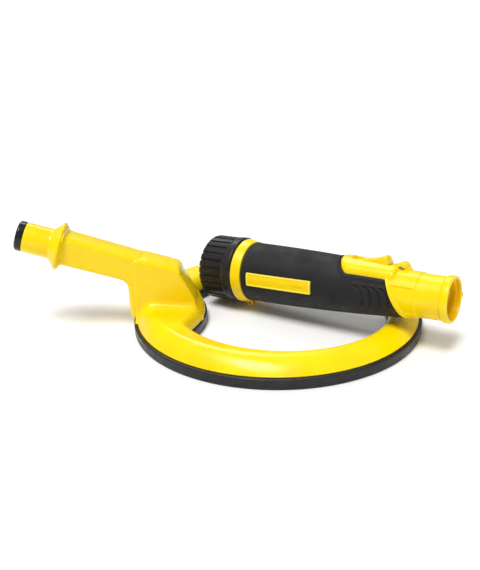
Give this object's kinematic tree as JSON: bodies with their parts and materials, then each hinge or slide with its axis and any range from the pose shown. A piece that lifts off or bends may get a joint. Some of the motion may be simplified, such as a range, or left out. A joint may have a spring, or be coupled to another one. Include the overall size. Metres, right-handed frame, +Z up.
{
  "type": "metal detector",
  "caption": "Hand-held underwater metal detector in two unplugged halves: a round search coil with a plug arm, and a rubber-gripped handle with an open socket.",
  "frame": {"origin": "bottom centre of the box around both halves, on the surface they lie on", "axes": "+X from the plug end of the coil arm towards the handle socket, +Y to the back of the coil, +Z up"},
  "size_m": [0.2944, 0.2, 0.0776],
  "materials": {
    "yellow_abs": "glossy injection-moulded yellow plastic",
    "black_potting": "satin black potting compound with fine moulding marks",
    "black_rubber": "matt over-moulded rubber",
    "black_nylon": "satin black nylon",
    "copper_wire": "enamelled copper wire",
    "gold_contact": "gold-plated contact",
    "stainless_steel": "stainless steel",
    "board_laminate": "green circuit-board laminate",
    "cell_wrap": "heat-shrink wrap",
    "seal_rubber": "nitrile seal"
  },
  "bodies": {
    "coil_half": {"coil_base": "black_potting", "coil_shell": "yellow_abs", "coil_winding": "copper_wire", "arm": "yellow_abs", "neck_housing": "yellow_abs", "plug_spigot": "yellow_abs", "end_plug": "black_nylon", "coil_lead": "black_rubber", "plug_contact_1": "gold_contact", "plug_contact_2": "gold_contact", "plug_contact_3": "gold_contact", "plug_contact_4": "gold_contact"},
    "handle": {"barrel": "yellow_abs", "battery_cell": "cell_wrap", "body_tube": "yellow_abs", "buzzer": "black_nylon", "circuit_board": "board_laminate", "collar": "yellow_abs", "contact_block": "black_nylon", "cradle_ring_1": "black_nylon", "cradle_ring_2": "black_nylon", "cross_pin": "stainless_steel", "grip_sleeve": "black_rubber", "name_plate": "yellow_abs", "reed_sensor": "gold_contact", "signal_lead": "black_rubber", "socket_contact_1": "gold_contact", "socket_contact_2": "gold_contact", "socket_contact_3": "gold_contact", "socket_contact_4": "gold_contact", "socket_seal": "seal_rubber", "top_housing": "yellow_abs", "vibration_motor": "stainless_steel"},
    "battery_door": {"battery_cap": "black_nylon", "cap_seal": "seal_rubber", "battery_spring": "stainless_steel"},
    "nut": {"end_nut": "black_nylon"},
    "slider": {"thumb_slider": "yellow_abs", "slider_magnet": "stainless_steel"},
    "button": {"lock_button": "yellow_abs"}
  },
  "joints": [
    {"name": "handle_lift", "type": "slide", "parent": "coil_half", "child": "handle", "axis": [0, 0, 1], "range_m": [0, 0.1]},
    {"name": "cap_travel", "type": "slide", "parent": "handle", "child": "battery_door", "axis": [-0.8322, 0.5511, -0.0612], "range_m": [0, 0.0012]},
    {"name": "nut_turn", "type": "hinge", "parent": "battery_door", "child": "nut", "pos_m": [0.01039, 0.0289, 0.027], "axis": [-0.8322, 0.5511, -0.0612], "range_deg": [0, 60]},
    {"name": "slider_travel", "type": "slide", "parent": "handle", "child": "slider", "axis": [0.8322, -0.5511, 0.0612], "range_m": [-0.005, 0.003]},
    {"name": "button_press", "type": "slide", "parent": "handle", "child": "button", "axis": [-0.5526, -0.8152, 0.1733], "range_m": [0, 0.0012], "stiffness_N_per_m": 120}
  ],
  "couplings": [
    {"joint": "cap_travel", "follows": "nut_turn", "m_per_rad": 0.0011459}
  ]
}
